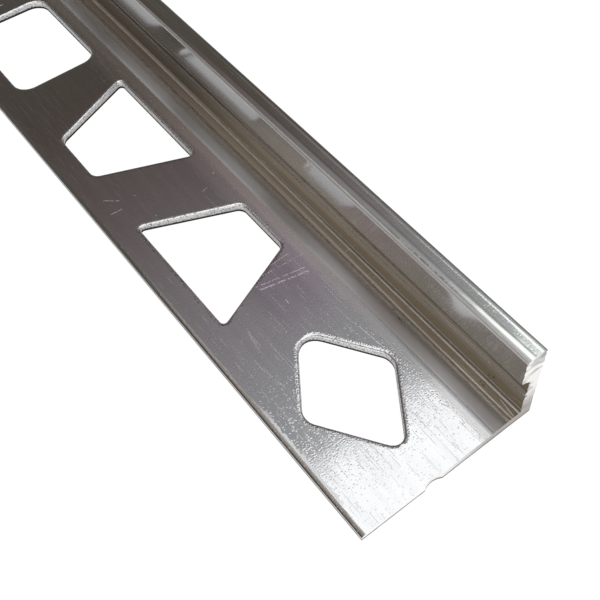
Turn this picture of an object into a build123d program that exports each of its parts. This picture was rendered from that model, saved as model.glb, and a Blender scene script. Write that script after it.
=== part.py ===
from build123d import *
import os

# Straight-edge aluminium tile trim: a thin punched leg that is bedded under the tile,
# and an upright wall with a thick head that covers the tile's edge.
# X runs along the stock, Y from the leg's free edge to the wall, Z up from the underside.
# The origin is the middle of the length and width, on the underside. Millimetres.

# Stock
length = 2500.0
width = 23.5
height = 12.5

# Leg, thinner towards its free edge
heel_thickness = 1.4
toe_thickness = 0.9
toe_face = 0.6
toe_bevel = 0.5
heel_fillet = 0.25
outer_bottom_round = 0.15

# Wall and head
wall_thickness = 1.6
recess_depth = 0.15
head_width = 2.75
head_depth = 4.15
shoulder_drop = 0.8
head_chamfer = 0.3
outer_top_round = 0.35

# Bead and groove along the wall's inner face, between the recess and the plain lower wall
bead_top = 5.45
bead_height = 0.5
bead_lead = 0.15
bead_swell = 0.12
groove_height = 0.35
groove_depth = 0.2

# Punched row: plain shapes repeated at one pitch, seen from the cut end towards the far one
hole_pitch = 25.0
first_hole = 14.0
last_hole_margin = 12.0
row_from_edge = 9.7
punch_depth = 12.2
diamond_length = 19.2
diamond_width = 12.8
diamond_round = 2.0
diamond_near_round = 1.4
trapezoid_base = 19.0
trapezoid_top = 8.6
trapezoid_corner = 0.8
window_length = 17.4
window_round = 2.2

# Shallow nick in the leg at the cut end
nick_from_edge = 9.6
nick_width = 2.4
nick_depth = 0.34

free_edge_y = -width / 2
wall_face_y = width / 2
wall_inner_y = wall_face_y - wall_thickness
recess_y = wall_inner_y + recess_depth
head_inner_y = wall_face_y - head_width
row_y = free_edge_y + row_from_edge
cut_end_x = length / 2
bead_bottom = bead_top - bead_height
groove_bottom = bead_bottom - groove_height
cutter_height = 2 * heel_thickness


def corner(face, across, up):
    """The flat face's vertex nearest to a point of its own plane."""
    return face.vertices().sort_by_distance(Vector(across, up, 0))[0]


def section():
    """Cross-section in its own plane, Y across and Z up."""
    outline = [
        (free_edge_y, 0),
        (wall_face_y, 0),
        (wall_face_y, height),
        (head_inner_y, height),
        (head_inner_y, height - head_depth),
        (recess_y, height - head_depth - shoulder_drop),
        (recess_y, bead_top),
        (wall_inner_y - bead_swell, bead_top - bead_lead),
        (wall_inner_y - bead_swell, bead_bottom),
        (wall_inner_y + groove_depth, bead_bottom),
        (wall_inner_y + groove_depth, groove_bottom),
        (wall_inner_y, groove_bottom),
        (wall_inner_y, heel_thickness),
        (free_edge_y + toe_bevel, toe_thickness),
        (free_edge_y, toe_face),
    ]
    face = make_face(Polyline(*outline, close=True))
    face = fillet(corner(face, wall_face_y, height), outer_top_round)
    face = fillet(corner(face, wall_face_y, 0), outer_bottom_round)
    face = fillet(corner(face, wall_inner_y, heel_thickness), heel_fillet)
    return chamfer(corner(face, head_inner_y, height), head_chamfer)


def diamond():
    """Rounded diamond whose tip towards the cut end is the sharpest."""
    near = (diamond_length / 2, 0)
    far = (-diamond_length / 2, 0)
    wall_side = (0, diamond_width / 2)
    free_side = (0, -diamond_width / 2)
    face = make_face(Polyline(far, wall_side, near, free_side, close=True))
    face = fillet(corner(face, *near), diamond_near_round)
    others = [corner(face, *tip) for tip in (far, wall_side, free_side)]
    return fillet(others, diamond_round)


def trapezoid():
    """Trapezoid with small flats at its corners and its wide side towards the free edge."""
    half_depth = punch_depth / 2
    corners = [
        (-trapezoid_base / 2, -half_depth),
        (-trapezoid_top / 2, half_depth),
        (trapezoid_top / 2, half_depth),
        (trapezoid_base / 2, -half_depth),
    ]
    face = make_face(Polyline(*corners, close=True))
    return chamfer(face.vertices(), trapezoid_corner)


def window():
    return RectangleRounded(window_length, punch_depth, window_round)


def hole_places():
    """X of each hole's middle, from the cut end to the far end."""
    span = length - first_hole - last_hole_margin
    count = int(span // hole_pitch) + 1
    return [cut_end_x - first_hole - index * hole_pitch for index in range(count)]


def punch_tools():
    wide_outside = trapezoid()
    wide_inside = Rot(0, 0, 180) * wide_outside
    shapes = [diamond(), wide_outside, wide_inside, window()]
    tools = []
    for index, x in enumerate(hole_places()):
        outline = shapes[index % len(shapes)]
        tool = extrude(outline, amount=cutter_height, both=True)
        tools.append(Pos(x, row_y, 0) * tool)
    return tools


def nick_tool():
    """Round cutter whose edge leaves a nick of the stated width and depth in the cut end."""
    radius = (nick_width**2 / 4 + nick_depth**2) / (2 * nick_depth)
    tool = Cylinder(radius, 2 * cutter_height)
    return Pos(cut_end_x + radius - nick_depth, free_edge_y + nick_from_edge, 0) * tool


def edge_trim():
    profile = Plane.YZ.offset(-length / 2) * section()
    bar = extrude(profile, amount=length)
    return bar - punch_tools() - nick_tool()


if __name__ == "__main__":
    os.makedirs("parts", exist_ok=True)
    trim = edge_trim()
    trim.label = "edge_trim"
    export_step(trim, "parts/edge_trim.step")
    print("holes", len(hole_places()), "volume mm3", round(trim.volume, 1))
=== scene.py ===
import math
from contextlib import contextmanager
from functools import partialmethod
from types import SimpleNamespace

import bmesh
import bpy
from bpy.props import FloatProperty, FloatVectorProperty, IntProperty, PointerProperty
from mathutils import Matrix, Vector


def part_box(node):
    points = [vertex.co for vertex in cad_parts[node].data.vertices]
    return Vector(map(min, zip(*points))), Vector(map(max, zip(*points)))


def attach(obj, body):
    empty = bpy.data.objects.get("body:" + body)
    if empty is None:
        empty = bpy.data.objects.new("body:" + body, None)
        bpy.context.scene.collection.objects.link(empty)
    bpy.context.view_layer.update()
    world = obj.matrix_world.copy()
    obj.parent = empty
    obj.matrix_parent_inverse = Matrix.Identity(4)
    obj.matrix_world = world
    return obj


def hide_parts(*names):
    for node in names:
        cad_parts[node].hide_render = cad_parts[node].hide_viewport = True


bl_info = {
    "name": "Tile edge trim",
    "version": (1, 0, 0),
    "blender": (4, 5, 0),
    "location": "View3D > Sidebar > Tile trim",
    "description": "Models a punched aluminium tile edge trim and the studio that shows it",
    "category": "Object",
}

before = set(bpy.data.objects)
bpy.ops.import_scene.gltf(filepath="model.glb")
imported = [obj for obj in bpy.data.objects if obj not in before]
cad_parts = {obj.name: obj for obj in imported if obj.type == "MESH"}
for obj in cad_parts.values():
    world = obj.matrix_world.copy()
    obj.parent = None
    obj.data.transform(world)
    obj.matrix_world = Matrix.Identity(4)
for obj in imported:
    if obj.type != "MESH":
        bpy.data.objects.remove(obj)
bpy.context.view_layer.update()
trim_low, trim_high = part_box("edge_trim")

SIDEBAR_TAB = "Tile trim"
MILLIMETRE = 0.001
# Two points closer than this are the same one.
SAME_PLACE = 1e-6
# How square a face's normal has to stand to an axis before it counts as facing along it.
SQUARE_ON = 0.99


# Properties

def metres(name, description, millimetres):
    """A length property whose default is written in millimetres."""
    return FloatProperty(name=name, description=description, default=millimetres * MILLIMETRE,
                         min=0.0, precision=5, unit="LENGTH", subtype="DISTANCE")


def share(name, description, default):
    return FloatProperty(name=name, description=description, default=default, min=0.0, max=1.0,
                         subtype="FACTOR")


def colour(name, description, default):
    return FloatVectorProperty(name=name, description=description, default=default, size=3,
                               min=0.0, max=2.0, subtype="COLOR")


class TrimSection(bpy.types.PropertyGroup):
    """The extruded profile, square to its length."""

    heel_thickness: metres("Heel thickness", "Leg's thickness where it meets the wall", 1.4)
    toe_thickness: metres("Toe thickness", "Leg's thickness just inside its free edge", 0.9)
    toe_face: metres("Toe face", "Height of the leg's free edge", 0.55)
    toe_break: metres("Toe break", "Width of the toe bevel's steeper outer part", 0.2)
    toe_break_height: metres("Toe break height", "Leg's thickness where the two parts meet", 0.72)
    toe_bevel: metres("Toe bevel", "Width of the slope along the free edge", 0.5)
    heel_fillet: metres("Heel fillet", "Set-back of the fillet in the inside corner", 0.25)
    bottom_round: metres("Bottom round", "Rounding of the outer bottom corner", 0.15)
    wall_thickness: metres("Wall thickness", "Lower wall's thickness", 1.6)
    recess_depth: metres("Recess depth", "How far the wall steps back below the head", 0.15)
    head_width: metres("Head width", "Head's width across the top", 2.75)
    head_depth: metres("Head depth", "Head's height down its inner face", 4.15)
    shoulder_drop: metres("Shoulder drop", "Slope of the head's underside", 0.8)
    head_chamfer: metres("Head chamfer", "Softening of the head's inner top corner", 0.3)
    lip_width: metres("Lip width", "Strip along the head's inner top edge that leans inwards", 0.85)
    lip_drop: metres("Lip drop", "How far the strip's inner edge lies below the crown", 0.17)
    crown_width: metres("Crown width", "Level strip along the head's highest line", 0.25)
    fall_width: metres("Fall width", "Strip of the head's top that leans outwards", 0.85)
    fall_drop: metres("Fall drop", "How far the outward strip falls", 0.065)
    rib_width: metres("Rib width", "Narrow strip near the head's outer edge that leans inwards", 0.2)
    rib_rise: metres("Rib rise", "How far the narrow strip rises", 0.04)
    top_round: metres("Top round", "Rounding of the outer top corner", 0.35)
    bead_top: metres("Bead top", "Height of the bead's upper edge", 5.45)
    bead_height: metres("Bead height", "Bead's height on the wall", 0.5)
    bead_lead: metres("Bead lead", "Height of the bead's sloped upper side", 0.15)
    bead_swell: metres("Bead swell", "How far the bead stands proud of the wall", 0.12)
    groove_height: metres("Groove height", "Height of the groove under the bead", 0.35)
    groove_depth: metres("Groove depth", "Depth of the groove under the bead", 0.2)
    edge_break: metres("Edge break", "Softening of every other long edge", 0.05)


class PunchedRow(bpy.types.PropertyGroup):
    """The row of plain punched shapes along the leg."""

    pitch: metres("Pitch", "From one hole's middle to the next", 25.0)
    first: metres("First hole", "From the cut end to the first hole's middle", 14.0)
    last_margin: metres("Last margin", "Least length kept beyond the last hole's middle", 12.0)
    from_edge: metres("Row from edge", "From the free edge to the row's line", 9.7)
    depth: metres("Punch depth", "Width of the trapezoids and windows across the leg", 12.2)
    diamond_length: metres("Diamond length", "Between the diamond's long tips", 19.2)
    diamond_width: metres("Diamond width", "Between the diamond's short tips", 12.8)
    diamond_round: metres("Diamond round", "Radius of the diamond's tips", 2.0)
    diamond_near_round: metres("Diamond near round", "Radius of the tip near the cut end", 1.4)
    trapezoid_base: metres("Trapezoid base", "Trapezoid's wide side", 19.0)
    trapezoid_top: metres("Trapezoid top", "Trapezoid's narrow side", 8.6)
    trapezoid_corner: metres("Trapezoid corner", "Set-back of the trapezoid's corners", 0.8)
    window_length: metres("Window length", "Window's length along the trim", 17.4)
    window_round: metres("Window round", "Radius of the window's corners", 2.2)
    rollover: metres("Rollover", "Rounding that the punch leaves around each hole's top", 0.3)
    lower_break: metres("Lower break", "Broken edge around each hole's underside", 0.06)
    margin: metres("Margin", "Disturbed ring on the leg around each hole", 0.25)
    nick_from_edge: metres("Nick from edge", "From the free edge to the middle of the cut end's nick", 9.6)
    nick_width: metres("Nick width", "Width of the nick in the cut end", 2.4)
    nick_depth: metres("Nick depth", "Depth of the nick in the cut end", 0.34)
    shapes: IntProperty(name="Shapes", description="Shapes in one repeat of the row", default=4, min=1)


class SawMarks(bpy.types.PropertyGroup):
    """Ridges that the saw leaves across the ends."""

    spacing: metres("Ridge spacing", "Between one ridge and the next", 0.42)
    depth: metres("Ridge depth", "Depth of the deepest step", 0.10)
    leg_depth: metres("Leg ridge depth", "Depth of the deepest step across the thin leg", 0.012)
    slant: FloatProperty(name="Slant", description="Turn of the ridges off the leg's direction",
                         default=math.radians(12), unit="ROTATION", subtype="ANGLE")


class TrimFinish(bpy.types.PropertyGroup):
    """Mill finish of the aluminium and its wear, with highlights, reflections and shade painted into its
    colour.
    """

    metal: colour("Metal", "Plain mill aluminium", (0.73, 0.725, 0.725))
    streak_metal: colour("Streak metal", "Aluminium in its darker drawn streaks", (0.66, 0.645, 0.66))
    crown_metal: colour("Crown metal", "Aluminium on the head's top", (0.745, 0.76, 0.73))
    # Painted shade: the recess under the head is coloured darker and browner where the head shades it.
    recess_shade_metal: colour("Recess metal", "Dull aluminium in the recess below the head", (0.56, 0.515, 0.455))
    # This colour serves real scratches and dings, and also painted highlights on the head's underside, its
    # rounded inner top edge and strips on the leg.
    worn_and_highlight_metal: colour("Worn metal", "Aluminium in scratches and dings", (0.93, 0.92, 0.925))
    edge_shade: colour("Edge shade", "Shaded line behind the head's inner top edge", (0.33, 0.32, 0.30))
    # Painted dark reflection on the leg along the wall's foot.
    dark_reflection_metal: colour("Dull metal", "Dull strip on the leg along the wall's foot", (0.47, 0.475, 0.49))
    # Painted highlight along the corner of leg and wall.
    corner_highlight_metal: colour("Corner metal", "Light line in the corner of leg and wall", (0.86, 0.80, 0.71))
    warm_tint: colour("Warm tint", "Tint of the leg and the wall beside their corner", (1.02, 0.96, 0.86))
    violet_tint: colour("Violet tint", "Tint of the leg between the first two holes", (0.96, 0.88, 0.97))
    # This colour serves real grime in pits and specks, and also painted shade in the inside corner, along
    # the bead and at the foot of upright faces.
    dirt_and_shade: colour("Dirt", "Grime in pits", (0.045, 0.035, 0.03))
    sawn_metal: colour("Sawn metal", "Aluminium on the sawn ends", (0.97, 0.96, 0.945))
    smeared_metal: colour("Smeared metal", "Smears on the sawn ends", (0.40, 0.38, 0.36))
    # Painted shade on the sawn ends, low towards the wall and at the outer top corner.
    shaded_metal: colour("Shaded metal", "Dull zones of the sawn ends", (0.26, 0.24, 0.22))
    roughness: share("Roughness", "Roughness of the plain surface", 0.07)
    heel_roughness: share("Heel roughness", "Roughness of the leg beside the wall", 0.03)
    strip_roughness: share("Strip roughness", "Roughness of a soft strip on the leg beside the wall", 0.13)
    fillet_roughness: share("Fillet roughness", "Roughness of the fillet in the inside corner", 0.5)
    wall_roughness: share("Wall roughness", "Roughness of upright faces", 0.035)
    worn_roughness: share("Worn roughness", "Roughness in scratches and dings", 0.5)
    head_roughness: share("Head roughness", "Roughness of the head's inner face", 0.14)
    shoulder_roughness: share("Shoulder roughness", "Roughness of the head's underside", 0.38)
    sawn_roughness: share("Sawn roughness", "Roughness of the sawn ends", 0.5)
    crown_roughness: share("Crown roughness", "Roughness of the head's top", 0.115)
    edge_roughness: share("Edge roughness", "Roughness of the head's rounded inner top edge", 0.36)
    rim_roughness: share("Rim roughness", "Roughness of the punched holes' rolled rims", 0.26)
    punched_roughness: share("Punched roughness", "Roughness of the punched walls", 0.6)


class StudioSettings(bpy.types.PropertyGroup):
    """Floor, light and camera."""

    camera_from_end: metres("Camera from end", "Camera beyond the cut end", 26.62)
    camera_from_edge: metres("Camera from edge", "Camera outside the free edge", 22.6)
    camera_height: metres("Camera height", "Camera above the leg's underside", 89.48)
    lens: FloatProperty(name="Lens", description="Focal length on a 36 mm sensor", default=55.89,
                        min=1.0, unit="CAMERA")
    room: FloatProperty(name="Room", description="Radius of the floor and the light tent", default=12.0,
                        min=1.0, unit="LENGTH", subtype="DISTANCE")
    panel_height: FloatProperty(name="Panel height", description="Height of the soft panel above the trim",
                                default=2.0, min=0.1, unit="LENGTH", subtype="DISTANCE")
    panel_light: FloatProperty(name="Panel light", description="Brightness of the soft panel", default=0.94,
                               min=0.0)


# Modelling helpers

def activate(*pieces):
    """Selects these objects only, with the first one active."""
    bpy.ops.object.select_all(action="DESELECT")
    for piece in pieces:
        piece.select_set(True)
    bpy.context.view_layer.objects.active = pieces[0]


@contextmanager
def editing(piece):
    """Edit mode on one object."""
    activate(piece)
    bpy.ops.object.mode_set(mode="EDIT")
    bpy.ops.mesh.select_mode(type="VERT")
    yield
    bpy.ops.object.mode_set(mode="OBJECT")


def pick(piece, kind, wanted, required=True):
    """Selects the verts, edges or faces that wanted() accepts, in edit mode, and tells how many."""
    bpy.ops.mesh.select_mode(type=kind)
    bpy.ops.mesh.select_all(action="DESELECT")
    shape = bmesh.from_edit_mesh(piece.data)
    items = {"VERT": shape.verts, "EDGE": shape.edges, "FACE": shape.faces}[kind]
    found = [item for item in items if wanted(item)]
    if required and not found:
        raise RuntimeError(f"{piece.name}: nothing to select")
    for item in found:
        item.select_set(True)
    bmesh.update_edit_mesh(piece.data)
    return len(found)


def apply_transforms(piece):
    activate(piece)
    bpy.ops.object.transform_apply(location=True, rotation=True, scale=True)


def added(operator, name=None, **settings):
    """Adds one primitive, with nothing else selected and its place in its mesh."""
    bpy.ops.object.select_all(action="DESELECT")
    operator(**settings)
    piece = bpy.context.object
    piece.name = name or piece.name
    apply_transforms(piece)
    return piece


def apply_modifier(piece, kind, **settings):
    """Adds one modifier to an object and applies it."""
    activate(piece)
    modifier = piece.modifiers.new(kind.title(), kind)
    for name, value in settings.items():
        setattr(modifier, name, value)
    bpy.ops.object.modifier_apply(modifier=modifier.name)


def copy_of(piece, name):
    activate(piece)
    bpy.ops.object.duplicate(linked=False)
    twin = bpy.context.object
    twin.name = name
    return twin


def join(pieces):
    activate(*pieces)
    bpy.ops.object.join()
    return bpy.context.object


# Profile

def section_corners(section):
    """The profile's corners as (y, z, set-back, segments), from the free edge's foot round to its top."""
    free_y, wall_y = trim_low.y, trim_high.y
    height = trim_high.z
    inner_y = wall_y - section.wall_thickness
    recess_y = inner_y + section.recess_depth
    bead_y = inner_y - section.bead_swell
    groove_y = inner_y + section.groove_depth
    head_y = wall_y - section.head_width
    head_z = height - section.head_depth
    shoulder_z = head_z - section.shoulder_drop
    lip_y = head_y + section.lip_width
    crown_y = lip_y + section.crown_width
    fall_z = height - section.fall_drop
    bead_z = section.bead_top - section.bead_height
    groove_z = bead_z - section.groove_height
    edge = section.edge_break
    # The crown falls slightly outwards, and the outer top corner lies a little below the fall's foot.
    return [
        (free_y, 0, edge, 2),
        (wall_y, 0, section.bottom_round, 3),
        (wall_y, fall_z - section.fall_drop / 3, section.top_round, 6),
        (crown_y + section.fall_width + section.rib_width, fall_z + section.rib_rise, edge, 2),
        (crown_y + section.fall_width, fall_z, edge, 2),
        (crown_y, height - section.fall_drop / 16, edge, 2),
        (lip_y, height, edge, 2),
        (head_y, height - section.lip_drop, section.head_chamfer, 4),
        (head_y, head_z, edge, 2),
        (recess_y, shoulder_z, edge, 2),
        (recess_y, section.bead_top, edge, 2),
        (bead_y, section.bead_top - section.bead_lead, edge, 2),
        (bead_y, bead_z, edge, 2),
        (groove_y, bead_z, edge, 1),
        (groove_y, groove_z, edge, 1),
        (inner_y, groove_z, edge, 2),
        (inner_y, section.heel_thickness, section.heel_fillet, 4),
        (free_y + section.toe_bevel, section.toe_thickness, edge, 2),
        (free_y + section.toe_break, section.toe_break_height, edge / 2, 1),
        (free_y, section.toe_face, edge, 2),
    ]


def profile_block(name, section, start_x, length):
    """A closed length of the profile, drawn corner by corner and extruded along X."""
    corners = section_corners(section)
    first = Vector((start_x, corners[0][0], corners[0][1]))
    block = added(bpy.ops.mesh.primitive_plane_add, name, size=MILLIMETRE, location=first)
    with editing(block):
        bpy.ops.mesh.select_all(action="SELECT")
        bpy.ops.mesh.merge(type="CENTER")
        here = first
        for y, z, _, _ in corners[1:]:
            there = Vector((start_x, y, z))
            bpy.ops.mesh.extrude_vertices_move(TRANSFORM_OT_translate={"value": there - here})
            here = there
        bpy.ops.mesh.select_all(action="SELECT")
        bpy.ops.mesh.edge_face_add()
        for y, z, set_back, segments in corners:
            at = Vector((start_x, y, z))
            pick(block, "VERT", lambda vert: (vert.co - at).length < SAME_PLACE)
            bpy.ops.mesh.bevel(offset=set_back, segments=segments, affect="VERTICES")
        pick(block, "FACE", lambda face: True)
        bpy.ops.mesh.extrude_region_move(TRANSFORM_OT_translate={"value": (length, 0, 0)})
        bpy.ops.mesh.select_all(action="SELECT")
        bpy.ops.mesh.normals_make_consistent(inside=False)
    return block


# Punched row

# How far beyond the punched shapes the row's own strip of the leg reaches.
ROW_MARGIN = 2 * MILLIMETRE


def whole_count(length, pitch):
    """How many whole pitches fit in a length."""
    return int(length / pitch + SAME_PLACE)


def row_strip(row):
    """Y of the row's line, and half the width of its strip of the leg."""
    return trim_low.y + row.from_edge, row.depth / 2 + ROW_MARGIN


def from_end(x):
    """How far a place lies from the nearer end of the trim."""
    return min(trim_high.x - x, x - trim_low.x)


def hole_places(row):
    """X of each hole's middle, from the cut end to the far end."""
    span = trim_high.x - trim_low.x - row.first - row.last_margin
    count = whole_count(span, row.pitch) + 1
    return [trim_high.x - row.first - index * row.pitch for index in range(count)]


def fillet_set_back(radius, corner_angle):
    """How far along its sides a rounded corner starts."""
    return radius / math.tan(corner_angle / 2)


def round_uprights(cutter, wanted, set_back, segments):
    """Bevels a cutter's upright edges that wanted() accepts by their middle."""
    with editing(cutter):
        def upright(edge):
            a, b = (vert.co for vert in edge.verts)
            return abs(a.z - b.z) > MILLIMETRE and wanted((a + b) / 2)
        pick(cutter, "EDGE", upright)
        bpy.ops.mesh.bevel(offset=set_back, segments=segments, affect="EDGES")


def diamond_cutter(row, depth):
    half_length, half_width = row.diamond_length / 2, row.diamond_width / 2
    cutter = added(bpy.ops.mesh.primitive_cylinder_add, vertices=4, radius=1.0, depth=depth)
    cutter.scale = (half_length, half_width, 1.0)
    apply_transforms(cutter)
    long_tip = 2 * math.atan2(half_width, half_length)
    short_tip = math.pi - long_tip
    tips = [
        (lambda at: at.x > half_length / 2, row.diamond_near_round, long_tip),
        (lambda at: at.x < -half_length / 2, row.diamond_round, long_tip),
        (lambda at: abs(at.y) > half_width * 0.9, row.diamond_round, short_tip),
    ]
    for wanted, radius, angle in tips:
        # The bevel's offset is measured square to the upright edge, along each side.
        round_uprights(cutter, wanted, fillet_set_back(radius, angle), 8)
    return cutter


def trapezoid_cutter(row, depth):
    """Wide side towards the free edge."""
    cutter = added(bpy.ops.mesh.primitive_cube_add, size=1.0,
                   scale=(row.trapezoid_base, row.depth, depth))
    with editing(cutter):
        pick(cutter, "FACE", lambda face: face.normal.y > 0.9)
        bpy.ops.transform.resize(value=(row.trapezoid_top / row.trapezoid_base, 1, 1))
    round_uprights(cutter, lambda at: True, row.trapezoid_corner, 5)
    return cutter


def turned_trapezoid_cutter(row, depth):
    cutter = trapezoid_cutter(row, depth)
    cutter.rotation_euler.z = math.pi
    apply_transforms(cutter)
    return cutter


def window_cutter(row, depth):
    cutter = added(bpy.ops.mesh.primitive_cube_add, size=1.0,
                   scale=(row.window_length, row.depth, depth))
    round_uprights(cutter, lambda at: True, row.window_round, 8)
    return cutter


CUTTERS = (diamond_cutter, trapezoid_cutter, turned_trapezoid_cutter, window_cutter)


def nick_cutter(row, depth):
    """Round cutter that leaves the nick in the cut end."""
    radius = (row.nick_width ** 2 / 4 + row.nick_depth ** 2) / (2 * row.nick_depth)
    place = (trim_high.x + radius - row.nick_depth, trim_low.y + row.nick_from_edge, 0)
    return added(bpy.ops.mesh.primitive_cylinder_add, vertices=96, radius=radius, depth=depth,
                 location=place)


def punch(block, row, places, first_index):
    """Cuts the holes at these places through the leg, and rolls their rims over as a punch does."""
    depth = 4 * trim_high.z
    row_y, reach = row_strip(row)
    cutters = []
    for index, x in enumerate(places, start=first_index):
        cutter = CUTTERS[index % row.shapes](row, depth)
        cutter.location = (x, row_y, 0)
        apply_transforms(cutter)
        cutters.append(cutter)
    if first_index == 0:
        cutters.append(nick_cutter(row, depth))
    tool = join(cutters)
    apply_modifier(block, "BOOLEAN", operation="DIFFERENCE", solver="EXACT", object=tool)
    bpy.data.objects.remove(tool)

    block_x = [vert.co.x for vert in block.data.vertices]
    low_x, high_x = min(block_x) + MILLIMETRE, max(block_x) - MILLIMETRE

    def rim(side):
        """Accepts the edges that a punched wall shares with the leg's top (1) or its underside (-1)."""
        def wanted(edge):
            middle = (edge.verts[0].co + edge.verts[1].co) / 2
            in_row = abs(middle.y - row_y) < reach and low_x < middle.x < high_x
            if len(edge.link_faces) != 2 or not in_row:
                return False
            wall, leg = sorted(edge.link_faces, key=lambda face: abs(face.normal.z))
            return abs(wall.normal.z) < 0.3 and abs(leg.normal.z) > 0.9 and leg.normal.z * side > 0
        return wanted

    def pierced(face):
        """Whether a level face has the holes' many corners."""
        return abs(face.normal.z) > SQUARE_ON and len(face.verts) > 4

    with editing(block):
        pick(block, "EDGE", rim(1))
        bpy.ops.mesh.bevel(offset=row.rollover, segments=3, affect="EDGES")
        pick(block, "EDGE", rim(-1))
        bpy.ops.mesh.bevel(offset=row.lower_break, segments=1, affect="EDGES")
        for y in (row_y - reach, row_y + reach):
            pick(block, "FACE", lambda face: pierced(face)
                 and face.calc_center_median().z < trim_high.z / 2)
            bpy.ops.mesh.bisect(plane_co=(0, y, 0), plane_no=(0, 1, 0))
        pick(block, "FACE", lambda face: pierced(face)
             and abs(face.calc_center_median().y - row_y) < reach)
        bpy.ops.mesh.inset(thickness=row.margin, use_even_offset=True)
    return block


def open_end(block, x):
    """Deletes a block's flat end, so that the next length can join it."""
    with editing(block):
        pick(block, "FACE", lambda face: abs(face.normal.x) > SQUARE_ON
             and abs(face.calc_center_median().x - x) < 10 * SAME_PLACE)
        bpy.ops.mesh.delete(type="FACE")


# Sawn ends

# The saw's steps are shallower below this height, on the thin leg.
LEG_LIMIT = 2.0 * MILLIMETRE
# Depth of each step as a share of the deepest, and how unevenly the steps are spaced.
SAW_STEPS = (0.2, 0.9, 0.35, 1.0, 0.1, 0.6, 0.25, 0.8, 0.45, 0.0, 0.7, 0.3)
SAW_WOBBLE = 0.25


def saw_end(block, saw, side):
    """Leaves the saw's slanting ridges across one end; side is 1 at the cut end, -1 at the far one."""
    end_x = trim_high.x if side > 0 else trim_low.x
    across = Vector((0, math.sin(saw.slant), math.cos(saw.slant)))
    corners = [Vector((end_x, y, z)).dot(across)
               for y in (trim_low.y, trim_high.y) for z in (0, trim_high.z)]
    low = min(corners)
    count = int((max(corners) - low) / saw.spacing)
    levels = [low + (line + SAW_WOBBLE * math.sin(2.4 * line)) * saw.spacing
              for line in range(1, count)]

    def in_cap(face):
        from_cap = abs(face.calc_center_median().x - end_x)
        return face.normal.x * side > 0.9 and from_cap < saw.depth * 1.1

    with editing(block):
        for level in levels:
            pick(block, "FACE", in_cap)
            bpy.ops.mesh.bisect(plane_co=across * level, plane_no=across)
        for line, level in enumerate(levels, start=1):
            step = SAW_STEPS[line % len(SAW_STEPS)]
            for on_leg, depth in ((True, saw.leg_depth), (False, saw.depth)):
                found = pick(block, "VERT", lambda vert: (vert.co.z < LEG_LIMIT) == on_leg
                             and abs(vert.co.dot(across) - level) < 2 * SAME_PLACE
                             and abs(vert.co.x - end_x) < SAME_PLACE, required=False)
                if found and step * depth > 0:
                    bpy.ops.transform.translate(value=(-side * step * depth, 0, 0))
    return block


# Faces that the punch and the saw have left.
ZONES = ("punched", "rim", "sawn")
# Up to this much of the normal along Z a face counts as rolled or upright, from there on as level.
LEVEL_LIMIT = 0.98
# From this much of the normal along X on, a face near an end counts as sawn.
SAWN_LIMIT = 0.7


def mark_zones(trim, row):
    """Marks the faces of each zone, for the finish."""
    row_y, reach = row_strip(row)
    faces, verts = trim.data.polygons, trim.data.vertices

    def in_row(face):
        return abs(face.center.y - row_y) < reach and from_end(face.center.x) > MILLIMETRE

    rolled = {face.index for face in faces if in_row(face) and 0.1 < face.normal.z < LEVEL_LIMIT}
    rolled_edges = {key for index in rolled for key in faces[index].edge_keys}

    def edge_length(key):
        return (verts[key[0]].co - verts[key[1]].co).length

    def beside_rolled(face):
        """Whether a level face runs along a rolled rim, rather than only ending at it."""
        shared = [edge_length(key) for key in face.edge_keys if key in rolled_edges]
        return bool(shared) and max(shared) > 0.5 * max(edge_length(key) for key in face.edge_keys)

    rules = (
        lambda face: in_row(face) and abs(face.normal.z) < LEVEL_LIMIT,
        lambda face: face.index in rolled or face.normal.z >= LEVEL_LIMIT and beside_rolled(face),
        lambda face: from_end(face.center.x) < MILLIMETRE and abs(face.normal.x) > SAWN_LIMIT,
    )
    for name, holds in zip(ZONES, rules):
        zone = trim.data.attributes.new(name, "FLOAT", "FACE")
        zone.data.foreach_set("value", [float(holds(face)) for face in faces])


# Trim

def build_trim(section, row, saw):
    """Models a repeat of the row at each end, and fills the length between with copies of the first."""
    places = hole_places(row)
    module = row.pitch * row.shapes
    count = whole_count(trim_high.x - trim_low.x, module)
    near_start, last_start = trim_high.x - module, trim_low.x
    near = punch(profile_block("edge_trim_finished", section, near_start, module), row,
                 places[:row.shapes], 0)
    middle = copy_of(near, "middle_length")
    last_index = (count - 1) * row.shapes
    last = punch(profile_block("last_length", section, last_start, module), row,
                 places[last_index:], last_index)
    open_end(near, near_start)
    open_end(middle, near_start)
    open_end(middle, trim_high.x)
    open_end(last, last_start + module)
    saw_end(near, saw, 1)
    saw_end(last, saw, -1)
    middle.location.x = -module
    apply_transforms(middle)
    apply_modifier(middle, "ARRAY", count=count - 2, use_relative_offset=False,
                   use_constant_offset=True, constant_offset_displace=(-module, 0, 0))
    trim = join([near, middle, last])
    with editing(trim):
        bpy.ops.mesh.select_all(action="SELECT")
        bpy.ops.mesh.remove_doubles(threshold=2 * SAME_PLACE)
        bpy.ops.mesh.normals_make_consistent(inside=False)
    activate(trim)
    bpy.ops.object.shade_smooth_by_angle(angle=math.radians(32))
    mark_zones(trim, row)
    with editing(trim):
        pick(trim, "FACE", lambda face: abs(face.normal.x) > SAWN_LIMIT
             and from_end(face.calc_center_median().x) < MILLIMETRE)
        bpy.ops.mesh.faces_shade_flat()
    apply_modifier(trim, "WEIGHTED_NORMAL", keep_sharp=True, mode="FACE_AREA")
    return trim


class OBJECT_OT_edge_trim(bpy.types.Operator):
    """Model the punched aluminium trim and give it its mill finish"""

    bl_idname = "object.edge_trim"
    bl_label = "Edge trim"
    bl_options = {"REGISTER", "UNDO"}

    def execute(self, context):
        scene = context.scene
        trim = build_trim(scene.trim_section, scene.punched_row, scene.saw_marks)
        trim.data.materials.clear()
        trim.data.materials.append(mill_aluminium(scene.trim_finish, scene.saw_marks))
        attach(trim, "root")
        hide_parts("edge_trim")
        return {"FINISHED"}


# Materials

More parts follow.
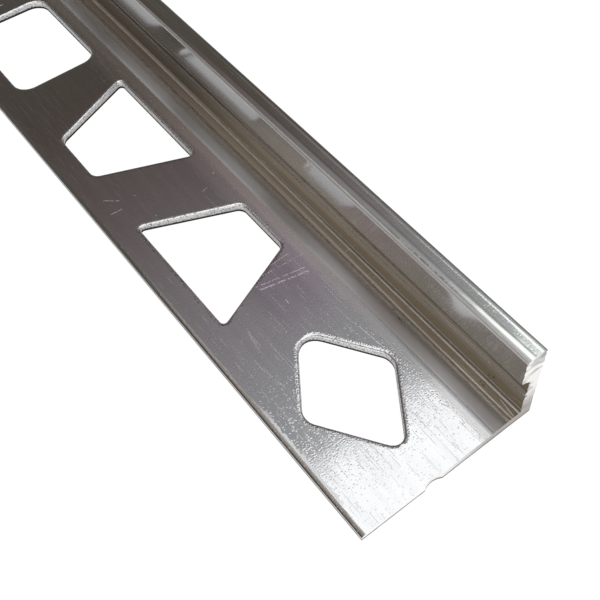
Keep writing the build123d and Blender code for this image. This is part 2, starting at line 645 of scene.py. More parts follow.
class Value:
    """A number or a place that changes over a surface. Sums with it add Math nodes to its tree."""

    def __init__(self, socket):
        self.socket = socket
        self.tree = socket.id_data

    def math(self, operation, *others):
        values = dict(enumerate((self, *others)))
        return Value(add_node(self.tree, "ShaderNodeMath", values, operation=operation).outputs[0])

    __add__ = partialmethod(math, "ADD")
    __sub__ = partialmethod(math, "SUBTRACT")
    __mul__ = partialmethod(math, "MULTIPLY")
    __truediv__ = partialmethod(math, "DIVIDE")
    __pow__ = partialmethod(math, "POWER")
    __abs__ = partialmethod(math, "ABSOLUTE")
    max = partialmethod(math, "MAXIMUM")
    min = partialmethod(math, "MINIMUM")
    below = partialmethod(math, "LESS_THAN")

    def __rsub__(self, number):
        node = add_node(self.tree, "ShaderNodeMath", {0: number, 1: self}, operation="SUBTRACT")
        return Value(node.outputs[0])

    def clamped(self):
        """Keeps the last step's result from 0 to 1."""
        self.socket.node.use_clamp = True
        return self

    def ramp(self, low, high, start=0.0, end=1.0):
        """Runs smoothly from start at low to end at high."""
        return Value(add_node(self.tree, "ShaderNodeMapRange", {
            "Value": self, "From Min": low, "From Max": high, "To Min": start, "To Max": end,
        }, interpolation_type="SMOOTHSTEP").outputs[0])

    def band(self, limits):
        """Fades in between the first two limits and out between the last two."""
        return self.ramp(limits[0], limits[1]) * self.ramp(limits[3], limits[2])

    def mix(self, plain, other):
        """Mixes two numbers by this one."""
        return Value(add_node(self.tree, "ShaderNodeMix", {0: self, 2: plain, 3: other},
                              data_type="FLOAT").outputs[0])

    def noise(self, scale, detail=2.0, stretch=None):
        """Noise at this place, from -0.5 to 0.5."""
        place = vector_calc(self.tree, "MULTIPLY", self, stretch) if stretch else self
        return Value(add_node(self.tree, "ShaderNodeTexNoise", {
            "Vector": place, "Scale": scale, "Detail": detail}).outputs[0]) - 0.5

    def tint(self, plain, other):
        """Mixes two colours by this number."""
        return add_node(self.tree, "ShaderNodeMix", {0: self, 6: plain, 7: other},
                        data_type="RGBA", clamp_factor=True).outputs[2]


def laid_over(ground, *layers):
    """Lays colours over a ground one after another, each where its mask is high."""
    for mask, colour in layers:
        ground = mask.tint(ground, colour)
    return ground


def tinted(tree, colour, tint):
    return vector_calc(tree, "MULTIPLY", colour, tint)


def new_material(name):
    material = bpy.data.materials.new(name)
    material.use_nodes = True
    material.node_tree.nodes.clear()
    return material, material.node_tree


def add_node(tree, kind, inputs=None, **settings):
    """Adds a node, sets its properties, and links or sets its inputs by name or number."""
    node = tree.nodes.new(kind)
    for name, value in settings.items():
        setattr(node, name, value)
    for name, value in (inputs or {}).items():
        socket = node.inputs[name]
        if isinstance(value, Value):
            value = value.socket
        if isinstance(value, bpy.types.NodeSocket):
            tree.links.new(value, socket)
        elif socket.type == "RGBA":
            socket.default_value = (*value, 1)
        else:
            socket.default_value = value
    return node


def vector_calc(tree, operation, *values, output=0):
    """One Vector Math node on these values or sockets."""
    node = add_node(tree, "ShaderNodeVectorMath", dict(enumerate(values)), operation=operation)
    return node.outputs[output]


def split(tree, vector):
    """The three numbers of a vector or a colour."""
    return [Value(socket) for socket in add_node(tree, "ShaderNodeSeparateXYZ", {0: vector}).outputs]


def turned(tree, place, angle, axis):
    return Value(add_node(tree, "ShaderNodeVectorRotate", {"Vector": place, "Angle": angle},
                          rotation_type=axis).outputs[0])


def new_group(name, inputs, outputs):
    """An empty node group with named sockets: its tree, inputs as values, and output sockets."""
    tree = bpy.data.node_groups.new(name, "ShaderNodeTree")
    for socket, default in inputs.items():
        kind = "NodeSocketVector" if default is None else "NodeSocketFloat"
        added = tree.interface.new_socket(socket, in_out="INPUT", socket_type=kind)
        if default is not None:
            added.default_value = default
    for socket in outputs:
        tree.interface.new_socket(socket, in_out="OUTPUT", socket_type="NodeSocketFloat")
    given = tree.nodes.new("NodeGroupInput").outputs
    values = {name: Value(given[name]) for name in inputs}
    return tree, values, tree.nodes.new("NodeGroupOutput").inputs


def give(outputs, **results):
    """Links a group's results to its output sockets."""
    for name, value in results.items():
        value.tree.links.new(value.socket, outputs[name])


def use_group(tree, group, **inputs):
    """Places a group and gives its outputs as values by name."""
    node = add_node(tree, "ShaderNodeGroup", inputs, node_tree=group)
    return {socket.name: Value(socket) for socket in node.outputs}


def drawing_lines_group():
    """Fine lines that the die draws along the trim. Place is in millimetres."""
    tree, given, result = new_group("Drawing lines", {"Place": None}, ["Height", "Streak"])
    fine = given["Place"].noise(5.0, 1.0, (0.006, 1.0, 1.0))
    broad = given["Place"].noise(0.9, 2.0, (0.006, 1.0, 1.0))
    hairlines = given["Place"].noise(1.0, 0.0, (0.22, 6.5, 6.5)).ramp(0.20, 0.27)
    give(result, Height=fine * 0.0016 + broad * 0.004 - hairlines * 0.0045,
         Streak=broad.ramp(-0.12, 0.16))
    return tree


def rolled_skin_group():
    """Fine speckle, pits and slow waves of a mill surface. Place is in millimetres."""
    tree, given, result = new_group("Rolled skin", {"Place": None}, ["Height", "Patch"])
    speckle = given["Place"].noise(6.5, 0.0, (1.0, 0.8, 1.0))
    cells = add_node(tree, "ShaderNodeTexVoronoi", {"Vector": given["Place"], "Scale": 3.7},
                     voronoi_dimensions="2D")
    chance = split(tree, cells.outputs["Color"])[0]
    pits = (1.0 - Value(cells.outputs["Distance"]) / 0.5).clamped() * chance ** 2.5
    waves = given["Place"].noise(0.16, 2.0, (0.6, 1.0, 1.0))
    patch = given["Place"].noise(0.45, 3.0, (0.5, 1.0, 1.0))
    grain = given["Place"].noise(4.4, 1.0)
    give(result, Height=waves * 0.013 - pits * 0.0055 + grain * 0.0024 + speckle * 0.0005,
         Patch=patch.ramp(-0.15, 0.18))
    return tree


def handling_scratches_group():
    """Sparse strokes in one direction. Place is in millimetres."""
    tree, given, result = new_group(
        "Handling scratches",
        {"Place": None, "Turn": 0.0, "Length": 0.12, "Sparseness": 0.2}, ["Stroke"])
    along = add_node(tree, "ShaderNodeCombineXYZ", {0: given["Length"], 1: 4.5, 2: 4.5}).outputs[0]
    strokes = turned(tree, given["Place"], given["Turn"], "Z_AXIS").noise(1.0, 0.0, along)
    limit = given["Sparseness"] - given["Place"].noise(0.09, 1.0) * 0.35
    give(result, Stroke=((strokes - limit) / 0.05).clamped())
    return tree


def dings_group():
    """Scattered round marks. Place is in millimetres."""
    tree, given, result = new_group(
        "Dings", {"Place": None, "Density": 0.35, "Share": 0.2, "Radius": 0.1}, ["Mark"])
    cells = add_node(tree, "ShaderNodeTexVoronoi", {"Vector": given["Place"], "Scale": given["Density"]})
    chance = split(tree, cells.outputs["Color"])
    radius = given["Radius"] * given["Density"] * (chance[1] + 0.5)
    reach = (1.0 - Value(cells.outputs["Distance"]) / radius).clamped()
    give(result, Mark=reach * chance[0].below(given["Share"]))
    return tree


def placed_mark_group():
    """One straight mark from Start, along Along, in millimetres. Pull is Along over its length squared."""
    tree, given, result = new_group(
        "Placed mark",
        {"Place": None, "Start": None, "Along": None, "Pull": None, "Width": 0.08}, ["Mark"])
    from_start = vector_calc(tree, "SUBTRACT", given["Place"], given["Start"])
    run = Value(vector_calc(tree, "DOT_PRODUCT", from_start, given["Pull"], output="Value"))
    foot = add_node(tree, "ShaderNodeVectorMath", {
        0: given["Along"], "Scale": (run + 0.0).clamped()}, operation="SCALE").outputs[0]
    gap = Value(vector_calc(tree, "DISTANCE", from_start, foot, output="Value"))
    give(result, Mark=(1.0 - gap / given["Width"]).clamped())
    return tree


def saw_lines_group():
    """Fine lines and smears across a sawn end. Place is in millimetres."""
    tree, given, result = new_group("Saw lines", {"Place": None, "Slant": 0.2}, ["Height", "Smear"])
    place = turned(tree, given["Place"], given["Slant"], "X_AXIS")
    fine = place.noise(4.0, 2.0, (0.2, 0.12, 1.0))
    smear = place.noise(1.1, 2.0, (0.2, 0.35, 1.0))
    give(result, Height=fine * 0.03, Smear=smear.ramp(-0.04, 0.12))
    return tree


def punched_wall_group():
    """Upright burnish lines over a torn lower zone. Place is in millimetres."""
    tree, given, result = new_group("Punched wall", {"Place": None}, ["Height", "Torn"])
    lines = given["Place"].noise(5.0, 2.0, (1.0, 1.0, 0.12))
    grains = given["Place"].noise(6.0, 2.0)
    torn = (split(tree, given["Place"])[2] + lines * 0.16).ramp(0.44, 0.36)
    give(result, Height=lines * 0.012 + grains * torn * 0.02, Torn=torn)
    return tree


# Marks on the leg and the wall, in millimetres from the cut end, the free edge and the underside: start,
# end, half width.
LIGHT_MARKS = (
    ((-31.54, 9.54, 1.11), (-30.22, 15.85, 1.26), 0.10),
    ((-30.90, 9.75, 1.12), (-29.50, 15.86, 1.26), 0.16),
    ((-33.03, 11.39, 1.15), (-33.14, 15.71, 1.26), 0.07),
    ((-32.41, 11.19, 1.15), (-31.99, 16.99, 1.29), 0.07),
    ((-27.84, 11.28, 1.15), (-27.19, 11.24, 1.15), 0.12),
    ((-12.64, 1.18, 0.92), (-12.63, 1.83, 0.93), 0.10),
    ((-9.99, 13.91, 1.21), (-10.02, 14.86, 1.24), 0.08),
    ((-20.31, 15.46, 1.25), (-15.31, 15.89, 1.26), 0.08),
    ((-55.16, 2.42, 0.94), (-53.82, 4.00, 0.98), 0.10),
    ((-52.49, 2.04, 0.94), (-52.35, 3.49, 0.97), 0.10),
    ((-48.28, 13.19, 1.20), (-48.45, 13.92, 1.21), 0.09),
    ((-50.02, 15.90, 1.26), (-50.06, 16.02, 1.26), 0.18),
)
DARK_MARKS = (
    ((-17.51, 19.76, 1.35), (-16.74, 19.74, 1.35), 0.09),
    ((-18.80, 20.08, 1.36), (-18.77, 20.07, 1.36), 0.14),
    ((-5.50, 21.27, 1.39), (-5.48, 21.27, 1.39), 0.13),
    ((-5.18, 21.55, 1.39), (-5.14, 21.55, 1.39), 0.13),
    ((-4.94, 21.10, 1.38), (-4.91, 21.10, 1.38), 0.15),
    ((-17.09, 21.90, 2.46), (-17.05, 21.90, 2.46), 0.14),
    ((-9.16, 21.85, 4.87), (-9.00, 21.85, 4.90), 0.12),
)

# Bands of the finish and of painted highlights, reflections and shade, in millimetres from the cut end, the
# free edge or the underside.
# Each fades in between its first two limits and out between its last two.
HEEL = (16.3, 17.5, 21.9, 22.0)
TOE_STRIP_ALONG = (-20.0, -14.0, -5.0, -3.0)
LIP_BURR_ALONG = (-24.0, -16.0, -9.0, -7.0)
LIP_BURR = (21.10, 21.16, 21.22, 21.28)
HEAD_EDGE = (20.95, 21.02, 21.22, 21.30)
RECESS = (5.27, 5.33, 7.2, 7.6)
# Painted shade line along the bead's lower edge.
BEAD_SHADE = (5.28, 5.34, 5.46, 5.52)
# Painted highlight band on the leg.
FAR_LEG_HIGHLIGHT = (14.0, 15.5, 17.9, 18.3)
# Painted dark reflection band on the leg.
DARK_REFLECTION_STRIP = (17.45, 17.75, 17.95, 18.1)
# Painted highlight band on the leg.
HIGHLIGHT_STRIP = (17.95, 18.15, 18.4, 19.6)
SOFT_STRIP = (19.0, 19.5, 20.6, 20.85)
# Painted highlight band on the leg.
FAR_STRIP_HIGHLIGHT = (19.4, 19.9, 20.7, 21.0)
# Painted highlight line in the corner of leg and wall.
CORNER_HIGHLIGHT = (21.56, 21.62, 21.74, 21.80)
FILLET = (21.58, 21.66, 21.87, 21.92)
# Painted shade in the inside corner of leg and wall.
CORNER_SHADE = (21.70, 21.78, 22.2, 22.3)
TINT_ALONG = (-40.0, -33.0, -28.0, -22.0)
TINT_ACROSS = (7.0, 11.0, 15.5, 17.6)
LIP_MIDDLE = 21.45


def marks_value(tree, place, group, marks):
    """How strongly any of these marks shows at a place."""
    strongest = None
    for start, end, width in marks:
        along = Vector(end) - Vector(start)
        mark = use_group(tree, group, Place=place, Start=start, Along=along,
                         Pull=along / along.length_squared, Width=width)["Mark"]
        strongest = strongest.max(mark) if strongest else mark
    return strongest * place.noise(3.0, 1.0).ramp(-0.14, -0.02)


def trim_places(tree):
    """Where a point lies on the trim, in millimetres, and which of its faces it is on."""
    at = SimpleNamespace()
    at.place = Value(add_node(tree, "ShaderNodeMapping", {
        "Vector": add_node(tree, "ShaderNodeTexCoord").outputs["Object"],
        "Location": (-trim_high.x / MILLIMETRE, -trim_low.y / MILLIMETRE, 0),
        "Scale": (1 / MILLIMETRE,) * 3,
    }).outputs[0])
    at.along, at.across, at.level = split(tree, at.place)
    at.punched, at.rim, at.sawn = [
        Value(add_node(tree, "ShaderNodeAttribute", attribute_name=zone).outputs["Fac"])
        for zone in ZONES]
    facing = split(tree, add_node(tree, "ShaderNodeNewGeometry").outputs["Normal"])[2]
    at.overhung = facing.ramp(-0.2, -0.6)
    at.upright = abs(facing).ramp(0.75, 0.35)
    at.flat = 1.0 - at.upright
    at.heel = at.across.band(HEEL)
    at.calm = at.upright.max(at.heel)
    at.inside = at.across.ramp(23.0, 22.9)
    at.on_leg = at.level.ramp(1.6, 1.5)
    at.crown = at.level.ramp(11.9, 12.2) * at.flat
    at.head_edge = at.level.ramp(11.98, 12.05) * at.across.ramp(21.12, 21.04)
    at.fillet = at.across.band(FILLET) * at.level.ramp(1.68, 1.62)
    return at


def wear_mask(tree, at, mark_group):
    """Scratches, dings, burrs, and the frosted speckle near the cut end."""
    scratches, dings = handling_scratches_group(), dings_group()
    along, across = [
        use_group(tree, scratches, Place=at.place, Turn=turn, Length=length, Sparseness=sparseness)["Stroke"]
        for turn, length, sparseness in ((0.14, 0.10, 0.36), (1.45, 0.30, 0.35))]
    sparse, frost = [
        use_group(tree, dings, Place=at.place, Density=density, Share=share, Radius=0.11)["Mark"]
        for density, share in ((0.45, 0.3), (3.4, 0.5))]
    light_marks = marks_value(tree, at.place, mark_group, LIGHT_MARKS)
    ragged_edge = at.across + at.place.noise(1.3, 2.0) * 0.7
    # A ragged light strip just inside the free edge, near the cut end.
    toe_ragged_strip = at.across.ramp(0.50, 0.56) * ragged_edge.ramp(0.86, 0.80)
    toe_ragged_strip = toe_ragged_strip * at.along.band(TOE_STRIP_ALONG)
    lip_burr = at.across.band(LIP_BURR) * at.place.noise(1.6, 1.0).ramp(-0.02, 0.10)
    lip_burr = lip_burr * at.along.band(LIP_BURR_ALONG) * at.level.ramp(11.5, 11.9)
    frost = frost * at.along.ramp(-26.0, -12.0, 0.0, 1.3) * (1.0 - at.calm) * at.on_leg
    burr = (toe_ragged_strip.max(lip_burr) * at.flat).max(frost)
    return (along * 0.3).max(across * 0.3).max(light_marks).max(sparse.max(burr))


def metal_colour(tree, at, finish, lines, skin, worn):
    """Colour of the drawn faces, from their streaks down to painted highlights, painted shade and a painted
    dark reflection on the head, the leg and their corner.
    """
    edge_line = at.across.band(HEAD_EDGE) * at.level.ramp(12.2, 12.3) * at.along.ramp(-30.0, -12.0)
    # Painted highlights: light strips where the leg reflects bright light.
    far_leg_highlight = at.along.ramp(-16.0, -36.0) * at.across.band(FAR_LEG_HIGHLIGHT) * 0.75
    highlight_strip = at.across.band(HIGHLIGHT_STRIP) * at.along.ramp(-40.0, -20.0, 0.3, 1.0)
    far_strip_highlight = at.along.ramp(-12.0, -26.0) * at.across.band(FAR_STRIP_HIGHLIGHT) * 0.4
    dark_reflection_strip = at.across.band(DARK_REFLECTION_STRIP) * at.along.ramp(-20.0, -8.0)
    corner_highlight = at.across.band(CORNER_HIGHLIGHT) * at.along.ramp(-46.0, -22.0, 0.15, 0.5)
    warmth = at.across.ramp(18.6, 20.5) * at.level.ramp(1.75, 1.6) * at.inside
    violet = at.along.band(TINT_ALONG) * at.across.band(TINT_ACROSS) * 0.8
    metal = laid_over(
        finish.metal,
        (lines["Streak"] * 0.45, finish.streak_metal),
        (skin["Patch"] * 0.3, finish.streak_metal),
        (at.crown, finish.crown_metal),
        (worn * 0.8, finish.worn_and_highlight_metal),
        # Painted highlight on the head's underside.
        (at.overhung * at.level.ramp(8.05, 8.3), finish.worn_and_highlight_metal),
        # Painted shade in the recess under the head.
        (at.level.band(RECESS) * at.inside, finish.recess_shade_metal),
        # Painted highlight on the head's rounded inner top edge.
        (at.head_edge * 0.9, finish.worn_and_highlight_metal),
        # Painted shade along the bead's lower edge.
        (at.level.band(BEAD_SHADE) * at.inside * 0.35, finish.dirt_and_shade),
        (edge_line * 0.85, finish.edge_shade),
        # Painted highlights on the leg.
        (highlight_strip.max(far_leg_highlight).max(far_strip_highlight) * at.on_leg, finish.worn_and_highlight_metal),
    )
    metal = warmth.tint(metal, tinted(tree, metal, finish.warm_tint))
    # Painted dark reflection on the leg along the wall's foot.
    metal = (dark_reflection_strip * at.on_leg).tint(metal, finish.dark_reflection_metal)
    metal = violet.tint(metal, tinted(tree, metal, finish.violet_tint))
    # Painted highlight along the corner of leg and wall.
    return (corner_highlight * at.on_leg).tint(metal, finish.corner_highlight_metal)


def sawn_colour(at, finish, smear):
    """Colour of the sawn ends: bright, smeared above the leg, with painted shade low towards the wall and
    high on the outer side.
    """
    smear = smear * at.level.ramp(1.2, 2.4, 0.05, 0.75)
    smear = smear.max(at.level.ramp(1.6, 3.0, 0.0, 0.22))
    # Painted shade: darker low towards the wall and at the high outer corner.
    low = at.across.ramp(8.0, 20.0) * at.level.ramp(6.5, 1.6)
    high = at.across.ramp(22.0, 23.2) * at.level.ramp(10.2, 11.5)
    return laid_over(finish.sawn_metal, (smear, finish.smeared_metal),
                     (low.max(high) * 0.8, finish.shaded_metal))


def metal_roughness(at, finish, skin, worn, torn):
    """Roughness of every face, mixed in step by step where each mask is high."""
    walls = at.level.ramp(8.2, 8.4).mix(finish.wall_roughness, finish.head_roughness)
    rough = finish.roughness
    for mask, other in (
        (at.across.ramp(19.6, 20.3), finish.heel_roughness),
        (at.across.band(SOFT_STRIP), finish.strip_roughness),
        (at.upright, walls),
        (at.overhung, finish.shoulder_roughness),
        (at.crown, finish.crown_roughness),
        (at.head_edge, finish.edge_roughness),
        (at.fillet, finish.fillet_roughness),
    ):
        rough = mask.mix(rough, other)
    rough = worn.mix(rough + skin["Patch"] * at.calm.mix(0.03, 0.0), finish.worn_roughness)
    rough = at.punched.mix(rough, at.upright.mix(finish.rim_roughness, finish.punched_roughness))
    return at.sawn.mix(rough + torn * 0.12, finish.sawn_roughness)


def mill_aluminium(finish, saw):
    """Drawn and punched aluminium: die lines, speckle, handling marks, its sawn and punched faces, and
    highlights and shade painted into its colour.
    """
    material, tree = new_material("mill_aluminium")
    at = trim_places(tree)
    lines = use_group(tree, drawing_lines_group(), Place=at.place)
    skin = use_group(tree, rolled_skin_group(), Place=at.place)
    saw_lines = use_group(tree, saw_lines_group(), Place=at.place, Slant=saw.slant)
    wall = use_group(tree, punched_wall_group(), Place=at.place)
    grains = at.place.noise(5.0, 1.0)
    mark_group = placed_mark_group()
    worn = wear_mask(tree, at, mark_group)
    torn = at.punched * wall["Torn"]

    # Painted shade in the inside corner of leg and wall, stronger away from the cut end.
    corner_shade = at.across.band(CORNER_SHADE) * at.level.ramp(1.86, 1.70)
    corner_shade = corner_shade * at.along.ramp(-46.0, -22.0, 0.08, 0.5)
    dark_marks = marks_value(tree, at.place, mark_group, DARK_MARKS)
    specks = grains.ramp(0.06, 0.16) * at.punched.max(at.rim)
    metal = laid_over(
        metal_colour(tree, at, finish, lines, skin, worn),
        # Real dark marks, with painted shade in the inside corner.
        (dark_marks.max(corner_shade), finish.dirt_and_shade),
        (at.punched * at.upright, finish.worn_and_highlight_metal),
        (torn * 0.88, finish.dirt_and_shade),
        (specks * 0.6, finish.dirt_and_shade),
        (at.sawn, sawn_colour(at, finish, saw_lines["Smear"])),
        # Painted shade at the foot of upright faces, next to the floor.
        (at.upright * at.level.ramp(0.32, 0.24) * 0.8, finish.dirt_and_shade),
    )

    height = lines["Height"] + skin["Height"] * at.along.ramp(-2.0, -8.0, 0.6, 1.0)
    leg_relief = at.heel.mix(1.0, at.across.ramp(18.6, 20.0, 0.07, 0.015))
    height = height * at.upright.mix(leg_relief, 0.03)
    # The lip along the head's inner edge is slightly crowned.
    lip_place = at.across.min(21.9).max(21.0)
    lip_curve = abs(lip_place - LIP_MIDDLE) ** 2.0 * -0.12
    crown_waves = at.place.noise(0.9, 1.0, (0.35, 1.0, 1.0)) * 0.02
    height = height + (crown_waves + lip_curve) * at.crown
    height = height * (1.0 - at.punched.max(at.sawn))
    height = height + wall["Height"] * at.punched + grains * at.rim * 0.026
    height = height + saw_lines["Height"] * at.sawn
    bump = add_node(tree, "ShaderNodeBump", {"Height": height, "Distance": MILLIMETRE, "Strength": 1.0})

    shader = add_node(tree, "ShaderNodeBsdfPrincipled", {
        "Base Color": metal,
        "Metallic": 1.0,
        "Roughness": metal_roughness(at, finish, skin, worn, torn),
        "Normal": bump.outputs[0],
    })
    add_node(tree, "ShaderNodeOutputMaterial", {"Surface": shader.outputs["BSDF"]})
    return material


# Studio

# Light that reaches the trim, by how far along -X its direction leans for each unit of height.
TENT_LIGHT = [
    (0.00, (0.45, 0.45, 0.45)),
    (0.40, (0.45, 0.45, 0.45)),
    (0.45, (0.378, 0.392, 0.405)),
    (0.60, (0.275, 0.255, 0.27)),
    (0.85, (0.150, 0.124, 0.122)),
    (1.10, (0.082, 0.068, 0.058)),
    (1.60, (0.10, 0.092, 0.082)),
    (2.00, (0.14, 0.13, 0.12)),
]
# Beyond the free edge it is dimmer and warmer close to the panel, by its lean along -Y.
FREE_SIDE_LIGHT = [
    (0.40, (0.215, 0.185, 0.142)),
    (0.585, (0.215, 0.185, 0.142)),
    (0.65, (0.36, 0.335, 0.30)),
    (0.80, (0.48, 0.45, 0.42)),
    (0.96, (0.60, 0.58, 0.56)),
    (1.09, (0.31, 0.275, 0.245)),
    (1.50, (0.30, 0.27, 0.24)),
    (1.90, (0.13, 0.105, 0.092)),
    (2.40, (0.12, 0.10, 0.09)),
]
LOW_LIGHT = 2.6
BAND_LIGHT = 2.1
# Leans along Y between which the free side's light, the bright band before it and the low light set in.
FREE_SIDE_START = (-0.408, -0.424)
BAND_START = (-0.30, -0.36)
LOW_START = (-2.6, -3.1)
# The strip of floor outside the free edge that shows lit in reflections, in millimetres from that edge.
LIT_STRIP = (-2.6, -1.6, -0.6, -0.1)


def floor_material():
    """White to the camera and in reflections, with the trim's soft shadow."""
    material, tree = new_material("studio_floor")
    path = {socket.name: Value(socket) for socket in add_node(tree, "ShaderNodeLightPath").outputs}
    seen = (path["Is Camera Ray"] + path["Is Glossy Ray"] + path["Is Transmission Ray"]).clamped()
    plain = add_node(tree, "ShaderNodeBsdfDiffuse", {"Color": (0.8, 0.8, 0.8)})
    dark = add_node(tree, "ShaderNodeBsdfDiffuse", {"Color": (0.2, 0.2, 0.2)})
    along, across, _ = split(tree, add_node(tree, "ShaderNodeTexCoord").outputs["Object"])
    # Reflections find the floor under the trim in its shade, and the open floor around it lit.
    lit_strip = across.band([trim_low.y + limit * MILLIMETRE for limit in LIT_STRIP])
    open_floor = along.ramp(-1 * MILLIMETRE, 1 * MILLIMETRE).max(lit_strip)
    shade = along.ramp(-14 * MILLIMETRE, -26 * MILLIMETRE, 0.45, 0.33)
    bright = path["Is Camera Ray"].mix(open_floor.mix(shade, 1.0), 0.92)
    white = add_node(tree, "ShaderNodeEmission", {"Color": (1, 1, 1), "Strength": bright})
    both = add_node(tree, "ShaderNodeAddShader", {0: dark.outputs[0], 1: white.outputs[0]})
    mixed = add_node(tree, "ShaderNodeMixShader", {0: seen, 1: plain.outputs[0], 2: both.outputs[0]})
    add_node(tree, "ShaderNodeOutputMaterial", {"Surface": mixed.outputs[0]})
    return material


def light_ramp(tree, lean, lights):
    """Colour ramp through these lights, by a lean that runs from 0 down to the last light's place."""
    reach = lights[-1][0]
    along = add_node(tree, "ShaderNodeMapRange", {"Value": lean, "From Min": 0.0, "From Max": -reach})
    ramp = add_node(tree, "ShaderNodeValToRGB", {"Fac": along.outputs[0]})
    stops = ramp.color_ramp.elements
    while len(stops) < len(lights):
        stops.new(1.0)
    for stop, (place, light) in zip(stops, lights):
        stop.position = place / reach
        stop.color = (*light, 1)
    return ramp.outputs["Color"]


def tent_material():
    """Soft light that fades from overhead towards the far end of the trim."""
    material, tree = new_material("light_tent")
    along, across, up = split(tree, add_node(tree, "ShaderNodeTexCoord").outputs["Object"])
    up = up.max(1e-3)
    lean, side = along / up, across / up
    dim = light_ramp(tree, side, FREE_SIDE_LIGHT)
    dim = lean.ramp(-0.85, -1.15).tint(dim, (0.10, 0.09, 0.078))
    free_side = side.ramp(*FREE_SIDE_START)
    light = free_side.tint(light_ramp(tree, lean, TENT_LIGHT), dim)
    low = side.ramp(*LOW_START) * lean.ramp(0.0, 1.0)
    light = low.tint(light, (1, 1, 1))
    # The leg shows this brighter band, just short of the dim side, by way of the head's inner face.
    banded = side.ramp(*BAND_START, 1.0, BAND_LIGHT) - free_side * (BAND_LIGHT - 1.0)
    glow = add_node(tree, "ShaderNodeEmission", {"Color": light, "Strength": low.mix(banded, LOW_LIGHT)})
    add_node(tree, "ShaderNodeOutputMaterial", {"Surface": glow.outputs[0]})
    return material


class OBJECT_OT_trim_studio(bpy.types.Operator):
    """Set up the floor, the soft light and the camera"""

    bl_idname = "object.trim_studio"
    bl_label = "Studio"
    bl_options = {"REGISTER", "UNDO"}

    def execute(self, context):
        studio = context.scene.studio_settings
        middle = Vector((trim_high.x, 0, 0))
        bpy.ops.object.select_all(action="DESELECT")
        bpy.ops.mesh.primitive_circle_add(vertices=96, radius=studio.room, fill_type="NGON",
                                          location=middle)
        floor = context.object
        floor.name = "studio_floor"
        floor.data.materials.append(floor_material())
        bpy.ops.object.select_all(action="DESELECT")
        bpy.ops.mesh.primitive_uv_sphere_add(segments=64, ring_count=32, radius=studio.room,
                                             location=middle)
        tent = context.object
        tent.name = "light_tent"
        with editing(tent):
            bpy.ops.mesh.select_all(action="SELECT")
            bpy.ops.mesh.bisect(plane_co=middle, plane_no=(0, 0, 1), clear_inner=True)
        tent.data.materials.append(tent_material())
        tent.visible_camera = False
        tent.visible_shadow = False
        add_panel_lamp(studio)
        add_world()
        add_camera(studio)
        return {"FINISHED"}


# Where the panel's sides lie, along X and then Y from over the cut end, for each unit of its height.
PANEL_SIDES = (-0.40, 3.0, -0.411, 0.95)
PANEL_COLOUR = (0.965, 1.0, 1.01)


def add_panel_lamp(studio):
    """A wide soft panel overhead, whose far edge shows across the leg near the cut end."""
    height = studio.panel_height
    low_x, high_x, low_y, high_y = [lean * height for lean in PANEL_SIDES]
    centre = Vector((trim_high.x + (low_x + high_x) / 2, (low_y + high_y) / 2, height))
    bpy.ops.object.light_add(type="AREA", location=centre)
    panel = bpy.context.object
    panel.name = "soft_panel"
    lamp = panel.data
    lamp.shape = "RECTANGLE"
    lamp.size = high_x - low_x
    lamp.size_y = high_y - low_y
    lamp.energy = studio.panel_light * math.pi * lamp.size * lamp.size_y
    lamp.color = PANEL_COLOUR
    panel.visible_camera = False


def add_world():
    world = bpy.data.worlds.new("white_surround")
    bpy.context.scene.world = world
    world.use_nodes = True
    background = world.node_tree.nodes["Background"]
    background.inputs["Color"].default_value = (1, 1, 1, 1)
    background.inputs["Strength"].default_value = 1.0


# The camera as solved from straight edges: its turn as an axis times an angle, the optical middle of the
# picture in pixels, the picture's side, and the sensor's width in millimetres.
CAMERA_TURN = (2.298256792898901, 1.1079070355374554, -0.38295904359752536)
PRINCIPAL_POINT = (334.82, 291.05)
IMAGE_SIDE = 600
SENSOR_WIDTH = 36.0


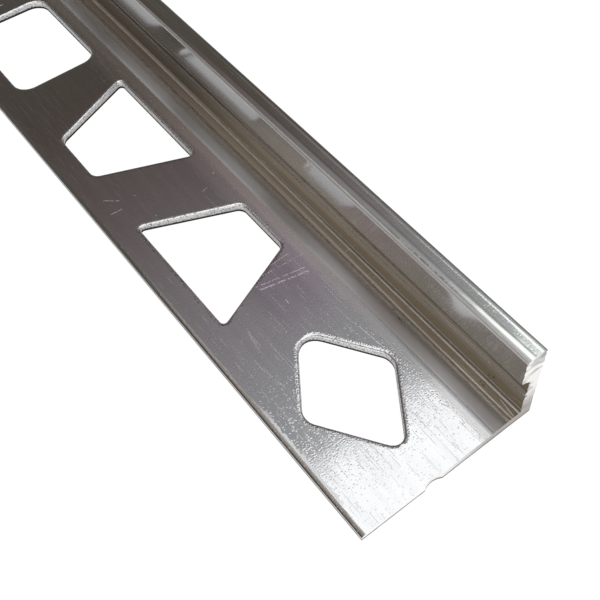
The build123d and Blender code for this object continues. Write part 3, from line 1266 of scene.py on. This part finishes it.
def add_camera(studio):
    """The camera where the photographer stood, close over the cut end."""
    position = Vector((trim_high.x + studio.camera_from_end, trim_low.y - studio.camera_from_edge,
                       studio.camera_height))
    bpy.ops.object.camera_add(location=position)
    camera = bpy.context.object
    camera.name = "photo_camera"
    turn = Vector(CAMERA_TURN)
    looking = Matrix.Rotation(turn.length, 3, turn.normalized())
    flip = Matrix(((1, 0, 0), (0, -1, 0), (0, 0, -1)))
    camera.rotation_mode = "QUATERNION"
    camera.rotation_quaternion = (looking.transposed() @ flip).to_quaternion()
    camera.data.lens = studio.lens
    camera.data.sensor_width = SENSOR_WIDTH
    camera.data.shift_x = (IMAGE_SIDE / 2 - PRINCIPAL_POINT[0]) / IMAGE_SIDE
    camera.data.shift_y = (PRINCIPAL_POINT[1] - IMAGE_SIDE / 2) / IMAGE_SIDE
    camera.data.clip_start = 5 * MILLIMETRE
    bpy.context.scene.camera = camera


# Panel and registration

class VIEW3D_PT_tile_trim(bpy.types.Panel):
    bl_idname = "VIEW3D_PT_tile_trim"
    bl_label = "Tile edge trim"
    bl_space_type = "VIEW_3D"
    bl_region_type = "UI"
    bl_category = SIDEBAR_TAB

    def draw(self, context):
        layout = self.layout
        layout.operator(OBJECT_OT_edge_trim.bl_idname)
        layout.operator(OBJECT_OT_trim_studio.bl_idname)
        for name, group in SETTINGS.items():
            box = layout.box()
            box.label(text=name.replace("_", " ").capitalize())
            for setting in group.__annotations__:
                box.prop(getattr(context.scene, name), setting)


SETTINGS = {
    "trim_section": TrimSection,
    "punched_row": PunchedRow,
    "saw_marks": SawMarks,
    "trim_finish": TrimFinish,
    "studio_settings": StudioSettings,
}
CLASSES = (*SETTINGS.values(), OBJECT_OT_edge_trim, OBJECT_OT_trim_studio, VIEW3D_PT_tile_trim)


def register():
    for item in CLASSES:
        bpy.utils.register_class(item)
    for name, group in SETTINGS.items():
        setattr(bpy.types.Scene, name, PointerProperty(type=group))


def unregister():
    for name in SETTINGS:
        delattr(bpy.types.Scene, name)
    for item in reversed(CLASSES):
        bpy.utils.unregister_class(item)


def main():
    register()
    bpy.context.scene.view_settings.view_transform = "Standard"
    bpy.ops.object.edge_trim()
    bpy.ops.object.trim_studio()


if __name__ == "__main__":
    main()
